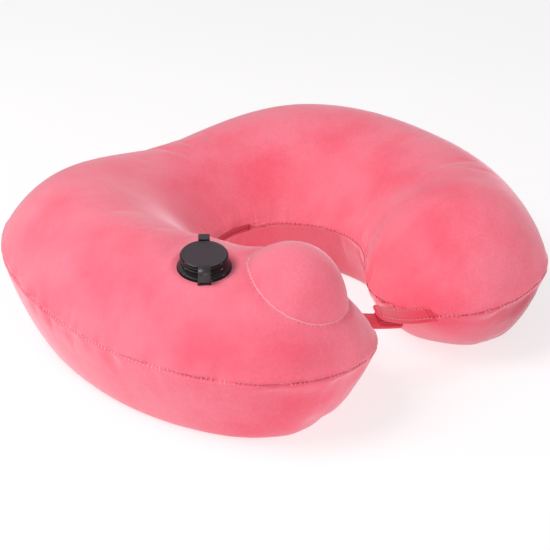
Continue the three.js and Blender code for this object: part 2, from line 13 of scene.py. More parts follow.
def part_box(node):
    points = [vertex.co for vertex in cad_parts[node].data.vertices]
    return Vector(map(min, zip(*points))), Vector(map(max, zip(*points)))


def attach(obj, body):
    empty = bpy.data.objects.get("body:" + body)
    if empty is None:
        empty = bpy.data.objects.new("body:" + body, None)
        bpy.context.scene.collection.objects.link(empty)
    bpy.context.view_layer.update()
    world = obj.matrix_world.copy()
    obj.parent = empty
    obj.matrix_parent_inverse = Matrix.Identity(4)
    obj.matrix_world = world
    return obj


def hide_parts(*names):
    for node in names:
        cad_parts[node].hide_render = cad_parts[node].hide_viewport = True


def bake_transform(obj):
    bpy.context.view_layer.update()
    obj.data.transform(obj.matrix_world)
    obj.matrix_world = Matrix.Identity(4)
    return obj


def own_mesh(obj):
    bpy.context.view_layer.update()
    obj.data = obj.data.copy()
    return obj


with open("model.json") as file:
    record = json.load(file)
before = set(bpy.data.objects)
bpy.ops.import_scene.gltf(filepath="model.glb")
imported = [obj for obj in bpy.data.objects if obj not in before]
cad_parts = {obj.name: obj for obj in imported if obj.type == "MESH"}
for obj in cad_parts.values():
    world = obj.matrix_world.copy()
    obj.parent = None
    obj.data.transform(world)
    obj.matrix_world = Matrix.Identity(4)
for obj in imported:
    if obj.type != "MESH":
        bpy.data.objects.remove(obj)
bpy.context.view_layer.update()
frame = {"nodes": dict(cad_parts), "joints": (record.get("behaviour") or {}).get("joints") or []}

MM = 0.001
JOINTS = {joint["name"]: joint for joint in frame["joints"]}
NECK = np.array(JOINTS["zip_slide"]["pos_m"])  # the neck circle's centre, at the height of the neck seam

# ---- Driving dimensions, in millimetres and degrees, the same as the CAD part's --------------------------

# Places round the pillow are angles about the neck circle: 0 is the back, positive turns towards +X.
# Lists of five hold a value at 0, 45, 90, 135 and 180 degrees from the back.
NECK_RADIUS = 51
HALF_WIDTH = [58.5, 69, 60.5, 61, 61]
TOP_RISE = [41, 45, 52, 53, 62]
OUTER_SEAM_LIFT = [0, 15.5, 6.5, 4.5, 4.5]
SEAM_HEIGHT = NECK[2] / MM
BELLY_DROP = 70
TIP_ROUNDING = 40
TOP_POWER = 2.6
BELLY_POWER = 3.2
TIP_POWER = 1.95
# Each arm's tip, A first: its angle, how far it bends in, its seam's dip and its belly's drop.
TIPS = np.array([[167, 9, 0, 70], [171, 20, 7, 54]], float)
BELLY_CHANGE_FROM = 110
SEAM_DIP_FROM = 140
PUMP_PLACE = [-73, -94, 86.7]
PUMP_HEADING = -64.5
PUMP_LEAN = 32
DOME_RADIUS = 32.2
VALVE_PLACE = [-114.5, -57, 96.6]
VALVE_HEADING = -128
VALVE_LEAN = 9
FLANGE_RADIUS = 16.2
THROAT_RADIUS = 9.2
STRAP_PLACE = [-1, -106.5, 43.5]
STRAP_HEADING = -15
STRAP_PITCH = 13
STRAP_ROLL = 18
ZIP_FROM = -95
ZIP_TO = 11

# ---- Dimensions of the looks alone, in millimetres and degrees --------------------------------------------

CAMERA_AZIMUTH = -41.3
CAMERA_ELEVATION = 25.9
CAMERA_ROLL = 0.76
CAMERA_DISTANCE = 979
CAMERA_AIM_HEIGHT = 60
DOME_CREST = 21.6
DOME_GATHERS = 48
FABRIC_THICKNESS = 1.4
ZIP_GAP_RADIUS = 53  # where the cloth's folded edge stops beside the zip's teeth
STRAP_THICKNESS = 2.8
STRAP_WIDTH = 12.8
STRAP_CORNER = 4.2
TAB_HALF_LENGTH = 7.4
TAB_HALF_HEIGHT = 3.4
TAB_DROP = 1.2  # how far the zip's end tab sits below the neck seam

# ---- Small tools ------------------------------------------------------------------------------------------


def smooth(low, high, value):
    """0 below low, 1 above high, and a smooth rise between them."""
    t = np.clip((np.asarray(value, float) - low) / (high - low), 0, 1)
    return t * t * (3 - 2 * t)


def bell(value, centre, width):
    return np.exp(-(((np.asarray(value, float) - centre) / width) ** 2))


def placed(place, heading, lean, roll=0):
    """The frame at a place on the pillow, turned to a heading, leant over towards it and rolled about it."""
    turns = ((heading, "Z"), (lean, "Y"), (roll, "X"))
    corner = [place[0] * MM, place[1] * MM + NECK[1], place[2] * MM]
    made = Matrix.Translation(corner)
    for angle, axis in turns:
        made = made @ Matrix.Rotation(math.radians(angle), 4, axis)
    return made


PUMP = placed(PUMP_PLACE, PUMP_HEADING, PUMP_LEAN)
VALVE = placed(VALVE_PLACE, VALVE_HEADING, VALVE_LEAN)
STRAPS = placed(STRAP_PLACE, STRAP_HEADING, STRAP_PITCH, STRAP_ROLL)


def into(matrix, points):
    """Row frame points in a placed frame, in millimetres."""
    back = np.array(matrix.inverted(), float)
    return (np.asarray(points) @ back[:3, :3].T + back[:3, 3]) / MM


def out_of(matrix, points):
    """A placed frame's points, in millimetres, in the row frame."""
    turn = np.array(matrix, float)
    return np.asarray(points, float) * MM @ turn[:3, :3].T + turn[:3, 3]


def axis_of(matrix):
    """The direction of a placed frame's Z axis."""
    return (matrix.to_3x3() @ Vector((0, 0, 1))).normalized()


def ring_faces(count, size, closed=False):
    """Faces that join each ring of points to the next, and the last to the first where it is closed."""
    faces = []
    for i in range(count if closed else count - 1):
        here, ahead = i * size, (i + 1) % count * size
        for j in range(size):
            k = (j + 1) % size
            faces.append((here + j, here + k, ahead + k, ahead + j))
    return faces


def tube_faces(count, size):
    """Faces of a closed tube: its rings joined, and a face over each end."""
    last = (count - 1) * size
    return ring_faces(count, size) + [tuple(range(size)), tuple(range(last, last + size))]


def slab_faces(rows, columns):
    """Faces of a slab made of two grids of points, the front one first, with its border closed."""
    shift = rows * columns
    faces = []
    for i in range(rows - 1):
        for j in range(columns - 1):
            a = i * columns + j
            faces.append((a, a + 1, a + columns + 1, a + columns))
            faces.append((a + shift, a + columns + shift, a + columns + 1 + shift, a + 1 + shift))
    border = [(j, j + 1) for j in range(columns - 1)]
    border += [(a + shift - columns, b + shift - columns) for a, b in border]
    for column in (0, columns - 1):
        border += [(i * columns + column, (i + 1) * columns + column) for i in range(rows - 1)]
    return faces + [(a, b, b + shift, a + shift) for a, b in border]


def mesh_object(name, points, faces):
    mesh = bpy.data.meshes.new(name)
    mesh.from_pydata([tuple(p) for p in np.asarray(points, float)], [], faces)
    mesh.validate()
    tidy = bmesh.new()
    tidy.from_mesh(mesh)
    bmesh.ops.remove_doubles(tidy, verts=tidy.verts, dist=1e-7)
    bmesh.ops.recalc_face_normals(tidy, faces=tidy.faces)
    tidy.to_mesh(mesh)
    tidy.free()
    mesh.polygons.foreach_set("use_smooth", [True] * len(mesh.polygons))
    piece = bpy.data.objects.new(name, mesh)
    bpy.context.scene.collection.objects.link(piece)
    return piece


def points_of(piece):
    flat = np.zeros(len(piece.data.vertices) * 3)
    piece.data.vertices.foreach_get("co", flat)
    return flat.reshape(-1, 3)


def normals_of(piece):
    flat = np.zeros(len(piece.data.vertices) * 3, np.float32)
    piece.data.vertex_normals.foreach_get("vector", flat)
    return flat.reshape(-1, 3).astype(float)


def set_points(piece, points):
    piece.data.vertices.foreach_set("co", np.asarray(points, np.float32).ravel())
    piece.data.update()


def applied(piece):
    """Puts the piece's modifiers into its mesh."""
    shape = piece.evaluated_get(bpy.context.evaluated_depsgraph_get())
    made = bpy.data.meshes.new_from_object(shape)
    piece.modifiers.clear()
    piece.data = made


def subdivide(piece):
    piece.modifiers.new("finer", "SUBSURF").levels = 1
    applied(piece)


# ---- The pillow's surface ---------------------------------------------------------------------------------


def along(values, angle):
    """A smooth curve through the five stations, level at both ends."""
    values = np.array(values, float)
    place = np.minimum(np.asarray(angle, float) / 45, 3.999)
    i = place.astype(int)
    t = place - i
    slope = np.zeros(5)
    slope[1:-1] = (values[2:] - values[:-2]) / 2
    return (
        values[i] * (2 * t**3 - 3 * t**2 + 1)
        + values[i + 1] * (3 * t**2 - 2 * t**3)
        + slope[i] * (t**3 - 2 * t**2 + t)
        + slope[i + 1] * (t**3 - t**2)
    )


def skin(angle, across, side):
    """Points of the surface. across is -1 at the neck seam and 1 at the outer seam; side is 1 on top."""
    angle, across, side = np.broadcast_arrays(*(np.asarray(v, float) for v in (angle, across, side)))
    turn = np.abs(angle)
    tip, inwards, seam_dip, belly_drop = np.moveaxis(TIPS[(angle >= 0).astype(int)], -1, 0)
    width = along(HALF_WIDTH, turn)
    taper = np.clip(1 - (tip - turn) / TIP_ROUNDING, 0, 1)
    narrowing = np.sqrt(1 - taper**2)
    flattening = 1 - taper**TIP_POWER
    radius = NECK_RADIUS + width - inwards * taper**2 + width * narrowing * across
    outer_lift = along(OUTER_SEAM_LIFT, turn) * narrowing * (across + 1) / 2
    seam = SEAM_HEIGHT + outer_lift - seam_dip * smooth(SEAM_DIP_FROM, tip, turn)
    belly = BELLY_DROP + (belly_drop - BELLY_DROP) * smooth(BELLY_CHANGE_FROM, tip, turn)
    rise = along(TOP_RISE, turn) * flattening * (1 - np.abs(across) ** TOP_POWER)
    drop = belly * flattening * (1 - np.abs(across) ** BELLY_POWER)
    height = np.where(side > 0, seam + rise, np.maximum(seam - drop, 0))
    theta = np.radians(angle)
    x, y = radius * np.sin(theta), radius * np.cos(theta)
    return np.stack([x * MM, y * MM + NECK[1], height * MM], -1)


def arc_length(points):
    steps = np.linalg.norm(np.diff(points, axis=0), axis=1)
    return np.concatenate([[0], np.cumsum(steps)])


# ---- Materials --------------------------------------------------------------------------------------------


def srgb(red, green, blue):
    """A display colour, 0 to 255, as the linear colour that shaders take."""
    def linear(value):
        c = value / 255
        return c / 12.92 if c <= 0.04045 else ((c + 0.055) / 1.055) ** 2.4
    return (linear(red), linear(green), linear(blue), 1)


def grey(level):
    return (level, level, level, 1)


class Look:
    """A procedural material: a Principled shader with noise in its colour, roughness and bump."""

    def __init__(self, name, **sockets):
        self.material = bpy.data.materials.new(name)
        self.material.use_nodes = True
        self.nodes = self.material.node_tree.nodes
        self.links = self.material.node_tree.links
        self.shader = self.nodes["Principled BSDF"]
        self.place = self.nodes.new("ShaderNodeTexCoord").outputs["Object"]
        self.height = None
        for socket, value in sockets.items():
            self.shader.inputs[socket.replace("_", " ")].default_value = value

    def noise(self, scale, detail=2, roughness=0.5):
        """A share from 0 to 1 that varies over the object, finer as the scale grows."""
        node = self.nodes.new("ShaderNodeTexNoise")
        node.inputs["Scale"].default_value = scale
        node.inputs["Detail"].default_value = detail
        node.inputs["Roughness"].default_value = roughness
        self.links.new(self.place, node.inputs["Vector"])
        return node.outputs["Fac"]

    def span(self, axis, start, end):
        """A share that runs from 0 to 1 between two places along an axis, in metres."""
        split = self.nodes.new("ShaderNodeSeparateXYZ")
        node = self.nodes.new("ShaderNodeMapRange")
        node.interpolation_type = "SMOOTHSTEP"
        node.inputs["From Min"].default_value = start
        node.inputs["From Max"].default_value = end
        self.links.new(self.place, split.inputs["Vector"])
        self.links.new(split.outputs[axis], node.inputs["Value"])
        return node.outputs["Result"]

    def ramp(self, value, *stops):
        """Maps a value to colours; each stop is (place, colour)."""
        node = self.nodes.new("ShaderNodeValToRGB")
        ends = node.color_ramp.elements
        while len(ends) < len(stops):
            ends.new(0.5)
        for end, (place, colour) in zip(ends, stops):
            end.position = place
            end.color = colour
        self.links.new(value, node.inputs["Fac"])
        return node.outputs["Color"]

    def mixed(self, share, first, second, blend="MIX"):
        node = self.nodes.new("ShaderNodeMix")
        node.data_type = "RGBA"
        node.blend_type = blend
        # The Mix node has its own sockets for colours: 6 and 7 in, 2 out.
        for index, value in ((0, share), (6, first), (7, second)):
            socket = node.inputs[index]
            if isinstance(value, bpy.types.NodeSocket):
                self.links.new(value, socket)
            else:
                socket.default_value = value
        return node.outputs[2]

    def bump(self, value, distance, strength=1.0):
        """Adds a bump on top of the ones before it. distance is its height in metres."""
        node = self.nodes.new("ShaderNodeBump")
        node.inputs["Distance"].default_value = distance
        node.inputs["Strength"].default_value = strength
        self.links.new(value, node.inputs["Height"])
        if self.height is not None:
            self.links.new(self.height, node.inputs["Normal"])
        self.height = node.outputs["Normal"]
        self.links.new(self.height, self.shader.inputs["Normal"])

    def colour(self, value):
        self.links.new(value, self.shader.inputs["Base Color"])

    def roughness(self, value, low, high):
        node = self.nodes.new("ShaderNodeMapRange")
        node.inputs["To Min"].default_value = low
        node.inputs["To Max"].default_value = high
        self.links.new(value, node.inputs["Value"])
        self.links.new(node.outputs["Result"], self.shader.inputs["Roughness"])


def velour(name, light, deep, painted_shade=None):
    """Short pile velour: brushed patches, mottled pile and a soft sheen along its edges.

    Where a shade colour is given, it is painted shade: the velour turns to it low down on the far arm's
    outer side.
    """
    look = Look(name, Roughness=0.95)
    look.shader.inputs["Specular IOR Level"].default_value = 0.15
    look.shader.inputs["Sheen Weight"].default_value = 1.0
    look.shader.inputs["Sheen Roughness"].default_value = 0.4
    look.shader.inputs["Sheen Tint"].default_value = srgb(255, 216, 226)
    brushed = look.ramp(look.noise(22, 3, 0.55), (0.36, light), (0.66, deep))
    pile = look.ramp(look.noise(520, 3, 0.65), (0.3, grey(0.80)), (0.7, grey(1)))
    coloured = look.mixed(0.5, brushed, pile, "MULTIPLY")
    if painted_shade:
        # Painted shade: darker low down and towards +X, on the far arm's outer side, where the shade falls.
        under = look.ramp(look.span("Z", 0.05, 0.034), (0, grey(0)), (1, grey(1)))
        far_arm_shade = look.ramp(look.span("X", 0.02, 0.12), (0, grey(0)), (1, grey(1)))
        coloured = look.mixed(look.mixed(1, under, far_arm_shade, "MULTIPLY"), coloured, painted_shade)
    look.colour(coloured)
    look.bump(look.noise(1500, 2, 0.7), 0.0004, 0.5)
    look.bump(look.noise(90, 3, 0.5), 0.0008, 0.35)
    return look.material


def plastic(name, colour, roughness, grain=600, bump=0.00005, **sockets):
    look = Look(name, **sockets)
    darker = tuple(c * 0.8 for c in colour[:3]) + (1,)
    speckle = look.noise(grain, 2)
    look.colour(look.ramp(speckle, (0.3, darker), (0.7, colour)))
    look.roughness(speckle, roughness * 0.85, roughness * 1.15)
    look.bump(speckle, bump, 0.6)
    return look.material


PINK = srgb(254, 128, 147)
DEEP_PINK = srgb(252, 104, 126)
LOOKS = {
    # The velour's third colour is painted shade, for the low outer side of the far arm.
    "velour": velour("velour", PINK, DEEP_PINK, srgb(170, 34, 56)),
    "strap_velour": velour("strap_velour", srgb(250, 92, 110), srgb(244, 72, 94)),
    "thread": plastic("sewing_thread", srgb(255, 176, 190), 0.6, 3000),
    "deep_thread": plastic("deep_sewing_thread", srgb(200, 44, 70), 0.6, 3000),
    # The welt's paler pinks are a painted sheen, where the fold of pile at the dome's seam catches the
    # light.
    "welt": velour("welt_velour_painted_sheen", srgb(255, 168, 182), srgb(254, 148, 164)),
    "film": plastic("tpu_film", srgb(216, 221, 226), 0.35, 120),
    # The matt finish is real; its lighter grey is a painted reflection of the soft overhead light on the
    # black plastic.
    "black_matt": plastic("black_tpu_matt_painted_reflection", srgb(66, 54, 61), 0.45, 1800, 0.00003),
    "black_satin": plastic("black_tpu_satin", srgb(50, 42, 47), 0.34, 1200, 0.00002),
    "black_gloss": plastic("black_tpu_gloss", srgb(14, 10, 12), 0.1, 400, 0.00001, Specular_IOR_Level=0.3),
    "foam": plastic("foam", srgb(233, 227, 200), 0.95, 900, 0.0006),
    "silicone": plastic("silicone", srgb(226, 230, 232), 0.45, 300),
    "zip_tape": plastic("zip_tape", srgb(222, 66, 92), 0.85, 1500, 0.0002),
    "zip_coil": plastic("zip_coil", srgb(206, 52, 78), 0.5, 900),
    "zip_metal": plastic("zip_metal", srgb(186, 186, 190), 0.3, 700, 0.00002, Metallic=1.0),
}


def dress(piece, look):
    piece.data.materials.clear()
    piece.data.materials.append(LOOKS[look])
    return piece


# ---- Camera, light and floor ------------------------------------------------------------------------------


def make_camera():
    """The camera that was fitted to the pillow's outline in the photo."""
    azimuth, elevation, roll = (math.radians(v) for v in (CAMERA_AZIMUTH, CAMERA_ELEVATION, CAMERA_ROLL))
    target = Vector((0, NECK[1], CAMERA_AIM_HEIGHT * MM))
    back = Vector((
        math.sin(azimuth) * math.cos(elevation),
        -math.cos(azimuth) * math.cos(elevation),
        math.sin(elevation),
    ))
    right = Vector((math.cos(azimuth), math.sin(azimuth), 0))
    up = back.cross(right)
    right, up = right * math.cos(roll) + up * math.sin(roll), up * math.cos(roll) - right * math.sin(roll)
    camera = bpy.data.objects.new("camera", bpy.data.cameras.new("camera"))
    bpy.context.scene.collection.objects.link(camera)
    camera.data.sensor_width = 36
    camera.data.lens = 96.1
    camera.data.shift_x = -0.023
    camera.data.shift_y = -0.072
    turn = Matrix((right, up, back)).transposed().to_4x4()
    camera.matrix_world = Matrix.Translation(target + back * CAMERA_DISTANCE * MM) @ turn
    bpy.context.scene.camera = camera


def area_light(name, place, target, size, power):
    light = bpy.data.lights.new(name, "AREA")
    light.shape = "DISK"
    light.size = size
    light.energy = power
    piece = bpy.data.objects.new(name, light)
    bpy.context.scene.collection.objects.link(piece)
    piece.location = place
    piece.rotation_euler = (Vector(target) - Vector(place)).to_track_quat("-Z", "Y").to_euler()


DAYLIGHT = (1, 0.985, 0.99, 1)


def make_stage():
    """A pale floor under a soft key, a weak fill, and two small lights that gloss the valve."""
    scene = bpy.context.scene
    scene.view_settings.view_transform = "Standard"
    world = bpy.data.worlds.new("studio")
    scene.world = world
    world.use_nodes = True
    background = world.node_tree.nodes["Background"]
    background.inputs["Color"].default_value = DAYLIGHT
    background.inputs["Strength"].default_value = 0.4
    pillow, valve = (0, 0, 0.05), tuple(out_of(VALVE, [[0, 0, 4]])[0])
    area_light("key", (-0.8, 0.25, 1.2), pillow, size=0.9, power=12)
    area_light("front_fill", (-0.7, -1.2, 0.6), pillow, size=1.0, power=4)
    area_light("gloss_left", (-0.93, 0.59, 0.46), valve, size=0.14, power=0.8)
    area_light("gloss_right", (0.6, -0.8, 0.46), valve, size=0.14, power=0.8)
    floor = mesh_object("floor", [(-4, -4, 0), (4, -4, 0), (4, 4, 0), (-4, 4, 0)], [(0, 1, 2, 3)])
    look = Look("floor", Roughness=0.9, Emission_Strength=0.68)
    look.shader.inputs["Emission Color"].default_value = DAYLIGHT
    look.colour(look.ramp(look.noise(3, 2), (0.3, grey(0.34)), (0.7, grey(0.36))))
    floor.data.materials.append(look.material)


# ---- Cover ------------------------------------------------------------------------------------------------

BODY_RINGS = 250
TIP_RINGS = 34
HALF_RING = 32


def ring_angles():
    """Angles of the cover's rings, which crowd together where the tips round over."""
    tip_a, tip_b = TIPS[:, 0]
    middle = np.linspace(TIP_ROUNDING - tip_a, tip_b - TIP_ROUNDING, BODY_RINGS + 1)
    round_over = TIP_ROUNDING * (1 - np.cos(np.linspace(0, math.pi / 2, TIP_RINGS + 1)[1:-1]))
    return np.concatenate([round_over - tip_a, middle, (tip_b - round_over)[::-1]])


def cover_grid():
    """The cover as rings of points with a pole at each tip. Returns points, faces and the seams' indices."""
    angles = ring_angles()[:, None]
    across = np.sin(np.linspace(-math.pi / 2, math.pi / 2, HALF_RING + 1))
    top = skin(angles, across[None], 1)
    under = skin(angles, across[None, -2:0:-1], -1)
    rings = np.concatenate([top, under], 1)
    count, size = rings.shape[:2]
    poles = skin(np.array([-TIPS[0, 0], TIPS[1, 0]]), 0, 1)
    points = np.concatenate([rings.reshape(-1, 3), poles])
    faces = ring_faces(count, size)
    for ring, pole in ((0, count * size), (count - 1, count * size + 1)):
        for j in range(size):
            faces.append((ring * size + j, ring * size + (j + 1) % size, pole))
    index = np.arange(count) * size
    seams = np.concatenate([index, index + HALF_RING, [count * size, count * size + 1]])
    return points, faces, seams


CLOTH_SETTINGS = {
    "quality": 5,
    "mass": 0.15,
    "tension_stiffness": 15,
    "compression_stiffness": 15,
    "shear_stiffness": 5,
    "bending_stiffness": 0.15,
    "use_pressure": True,
    "uniform_pressure_force": 4.0,
    "shrink_min": -0.03,  # a little spare cloth, which puckers
}
CLOTH_STEPS = 20
CLOTH_CAP = 2.2 * MM


def inflate(piece, held):
    """Blows a fabric mesh up between the points that are held; no point moves further than the cap."""
    start = points_of(piece)
    group = piece.vertex_groups.new(name="held")
    group.add([int(i) for i in held], 1.0, "REPLACE")
    cloth = piece.modifiers.new("fabric", "CLOTH")
    for setting, value in CLOTH_SETTINGS.items():
        setattr(cloth.settings, setting, value)
    cloth.settings.vertex_group_mass = "held"
    cloth.settings.effector_weights.gravity = 0
    cloth.collision_settings.use_collision = False
    scene = bpy.context.scene
    cloth.point_cache.frame_start = 1
    cloth.point_cache.frame_end = CLOTH_STEPS
    for step in range(1, CLOTH_STEPS + 1):
        scene.frame_set(step)
    shape = piece.evaluated_get(bpy.context.evaluated_depsgraph_get())
    moved = np.zeros(len(start) * 3, np.float32)
    shape.data.vertices.foreach_get("co", moved)
    piece.modifiers.clear()
    piece.vertex_groups.clear()
    scene.frame_set(1)
    shift = moved.reshape(-1, 3) - start
    length = np.linalg.norm(shift, axis=1, keepdims=True)
    set_points(piece, start + shift * np.minimum(1, CLOTH_CAP / np.maximum(length, 1e-9)))


class Seam:
    """A sewn line on the cover: how far points are from it, and how it gathers along its length."""

    def __init__(self, points, seed):
        gather = 6.5 * MM
        self.points = points
        self.length = arc_length(points)
        self.tree = KDTree(len(points))
        for i, point in enumerate(points):
            self.tree.insert(point, i)
        self.tree.balance()
        knots = np.arange(-2, self.length[-1] / gather + 3)
        self.knots = knots * gather
        self.pulls = np.random.default_rng(seed).uniform(-1, 1, len(knots))

    def distance(self, points):
        """Distance to the line, and the length along it of the nearest point."""
        found = [self.tree.find(p) for p in points]
        return np.array([f[2] for f in found]), self.length[[f[1] for f in found]]

    def gathers(self, length):
        """A smooth wave of uneven gathers, from -1 to 1."""
        step = self.knots[1] - self.knots[0]
        place = (length - self.knots[0]) / step
        i = np.clip(place.astype(int), 0, len(self.pulls) - 2)
        t = smooth(0, 1, place - i)
        return self.pulls[i] * (1 - t) + self.pulls[i + 1] * t


def seam_line(across):
    """A fine line of points along one of the cover's two seams."""
    angles = np.concatenate([[-TIPS[0, 0]], ring_angles(), [TIPS[1, 0]]])
    fine = np.interp(np.linspace(0, len(angles) - 1, 9 * len(angles)), np.arange(len(angles)), angles)
    return skin(fine, across, 1)


def sew(points, normals, seam, groove=0.8, pucker=0.5):
    """Draws the cloth into a sewn line and puckers it alongside. Sizes are in millimetres."""
    reach = 9
    distance, length = seam.distance(points)
    d = distance / MM
    sunk = 0.35 * bell(d, 1.9, 1.0) - groove * bell(d, 0, 0.9) - 0.3 * bell(d, 5, 3)
    waves = pucker * seam.gathers(length) * np.exp(-d / reach * 2) * smooth(0.4, 2.5, d)
    return normals * ((sunk + waves) * MM)[:, None]


def seat_valve(points):
    """Beds the cloth flat under the valve's flange, with a soft roll round it."""
    local = into(VALVE, points)
    radius = np.linalg.norm(local[:, :2], axis=1)
    near = np.abs(local[:, 2]) < 14
    bed = (1 - smooth(FLANGE_RADIUS + 0.8, FLANGE_RADIUS + 11, radius)) * near
    local[:, 2] += (-0.25 - local[:, 2]) * bed
    local[:, 2] += 1.1 * bell(radius, FLANGE_RADIUS + 3.6, 2.4) * near
    return out_of(VALVE, local)


def dome_seam_groove(points, normals):
    """Sinks the cloth along the dome's seam, with a soft roll outside it."""
    local = into(PUMP, points)
    radius = np.linalg.norm(local[:, :2], axis=1)
    near = np.abs(local[:, 2]) < 16
    sunk = -0.8 * bell(radius, DOME_RADIUS, 1.6) + 0.4 * bell(radius, DOME_RADIUS + 5, 3)
    return normals * (sunk * near * MM)[:, None]


def zip_channel(points, angle):
    """How far the cloth's edge stands back behind the zip's teeth."""
    height = points[:, 2] / MM - SEAM_HEIGHT
    radius = np.linalg.norm(points[:, :2] - NECK[:2], axis=1) / MM
    ends = smooth(ZIP_FROM - 3, ZIP_FROM, angle) * (1 - smooth(ZIP_TO + 3, ZIP_TO + 6, angle))
    ends *= radius < NECK_RADIUS + 8
    back = (1 - smooth(1.2, 2.8, np.abs(height))) * ends
    return np.maximum(ZIP_GAP_RADIUS - radius, 0) * back - 0.6 * bell(np.abs(height), 5.0, 1.4) * ends


def slack_folds(points, normals, seam):
    """Slanting folds in the slack cloth under the outer seam, near the far arm's tip."""
    distance, length = seam.distance(points)
    d, run = distance / MM, length / MM
    fold_depth = 0.75
    wander = 3 * np.sin(run / 23) + 2 * np.sin(run / 9.1)
    fold = np.sin(d / 2.6 + run / 15 + wander)
    on_far_arm = smooth(0.09, 0.13, points[:, 0])
    below_seam = smooth(0.056, 0.045, points[:, 2])
    near_tip = smooth(0.0, -0.04, points[:, 1])
    where = bell(d, 15, 9) * on_far_arm * below_seam
    where *= near_tip
    return normals * (fold_depth * fold * where * MM)[:, None]


def make_cover():
    """The sewn velour shell. Returns its surface before the holes are cut, and its two seams."""
    points, faces, seams = cover_grid()
    cover = mesh_object("velour_cover", points, faces)
    inflate(cover, seams)
    subdivide(cover)
    neck_seam = Seam(seam_line(-1), 3)
    outer_seam = Seam(seam_line(1), 5)
    points, normals = points_of(cover), normals_of(cover)
    points = points + sew(points, normals, neck_seam) + sew(points, normals, outer_seam, 0.7, 0.4)
    points += slack_folds(points, normals, outer_seam)
    points += dome_seam_groove(points, normals)
    points = seat_valve(points)
    angle = np.degrees(np.arctan2(points[:, 0], points[:, 1] - NECK[1]))
    outwards = points - NECK
    outwards[:, 2] = 0
    outwards /= np.linalg.norm(outwards, axis=1, keepdims=True)
    points += outwards * (zip_channel(points, angle) * MM)[:, None]
    points[:, 2] = np.maximum(points[:, 2], 0.0002)
    set_points(cover, points)
    surface = BVHTree.FromObject(cover, bpy.context.evaluated_depsgraph_get())
    open_up(cover, PUMP, DOME_RADIUS - 6, 16)
    open_up(cover, VALVE, THROAT_RADIUS + 0.3, 14)
    dress(cover, "velour")
    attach(cover, "root")
    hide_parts("cover_top", "cover_bottom")
    return surface, neck_seam, outer_seam


def open_up(piece, place, radius, reach):
    """Cuts a round hole in a piece about a placed frame's axis."""
    local = into(place, points_of(piece))
    hit = (np.linalg.norm(local[:, :2], axis=1) < radius) & (np.abs(local[:, 2]) < reach)
    mesh = bmesh.new()
    mesh.from_mesh(piece.data)
    mesh.verts.ensure_lookup_table()
    bmesh.ops.delete(mesh, geom=[mesh.verts[i] for i in np.flatnonzero(hit)], context="VERTS")
    mesh.to_mesh(piece.data)
    mesh.free()


# ---- Pump dome --------------------------------------------------------------------------------------------

DOME_RINGS = 30
DOME_SPOKES = 144


def rim_heights(surface, rim):
    """How high the cover lies under each point of the dome's rim, in the pump's frame."""
    above = 40
    heights = []
    for point in out_of(PUMP, rim + [0, 0, above]):
        hit = surface.ray_cast(Vector(point), -axis_of(PUMP))[0]
        heights.append(into(PUMP, [hit])[0][2])
    return np.array(heights)


def dome_gathers():
    """Uneven gathers round the dome's edge, from -1 to 1, one for each spoke."""
    pulls = np.random.default_rng(11).uniform(-1, 1, DOME_GATHERS)
    gather = np.repeat(pulls, DOME_SPOKES // DOME_GATHERS)
    return np.convolve(np.tile(gather, 3), np.ones(3) / 3, "same")[DOME_SPOKES:2 * DOME_SPOKES]


def dome_rows(rim, heights):
    """Rings of points from the dome's crown out to its rim, and two more that turn under it."""
    gather = dome_gathers()
    rows = []
    for share in np.sin(np.linspace(0, math.pi / 2, DOME_RINGS + 1))[1:]:
        crown = 0.55 * (1 - share**2) ** 0.62 + 0.45 * (1 - share**2.2)
        foot = heights * share**3
        z = foot + (DOME_CREST - foot) * crown
        z += 0.4 * gather * bell(share, 0.92, 0.06) * (share < 0.999)
        rows.append(np.stack([rim[:, 0] * share, rim[:, 1] * share, z], 1))
    for drop in (1.2, 2.4):
        narrower = 1 - drop / 60
        rows.append(rows[DOME_RINGS - 1] * [narrower, narrower, 1] - [0, 0, drop])
    return rows


def make_dome(surface):
    """The fabric dome: its rim follows the cover, where it is sewn on, and its crown is the pump's."""
    spokes = np.linspace(0, 2 * math.pi, DOME_SPOKES, endpoint=False)
    rim = np.stack([DOME_RADIUS * np.cos(spokes), DOME_RADIUS * np.sin(spokes), np.zeros(DOME_SPOKES)], 1)
    heights = rim_heights(surface, rim)
    rows = dome_rows(rim, heights)
    points = np.concatenate([np.concatenate(rows), [[0, 0, DOME_CREST]]])
    faces = ring_faces(len(rows), DOME_SPOKES)
    for j in range(DOME_SPOKES):
        faces.append((j, (j + 1) % DOME_SPOKES, len(rows) * DOME_SPOKES))
    dome = mesh_object("pump_dome_fabric", out_of(PUMP, points), faces)
    thick = dome.modifiers.new("cloth", "SOLIDIFY")
    thick.thickness = FABRIC_THICKNESS * MM
    thick.offset = -1
    applied(dome)
    dress(dome, "velour")
    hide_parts("pump_cover")
    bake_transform(dome)
    rim[:, 2] = heights
    return out_of(PUMP, np.concatenate([rim, rim[:1]]))


def make_foam():
    """The foam block that springs the pump back; the real one flattens as the dome is pressed, and this copy
    of its CAD solid keeps its shape.
    """
    node = frame["nodes"]["pump_foam"]
    corners = [node.matrix_world @ vertex.co for vertex in node.data.vertices]
    faces = [tuple(face.vertices) for face in node.data.polygons]
    foam = mesh_object("pump_foam_block", np.array(corners), faces)
    dress(foam, "foam")
    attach(foam, "root")
    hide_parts("pump_foam")
    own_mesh(foam)


def make_dome_seam(surface, rim):
    """The dome's sewn edge: a thin turned welt, coloured paler than the cover as a painted sheen along its
    fold, and the stitches that hold it.
    """
    welt = mesh_object("dome_welt", *tube(on_cloth(surface, rim, 0.15 * MM), 0.5 * MM, 8))
    dress(welt, "welt")
    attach(welt, "root")
    stitch_rungs("dome_seam_stitches", surface, rim, spacing=3.0, half=1.5, radius=0.24, seed=9)


# ---- Thread -----------------------------------------------------------------------------------------------


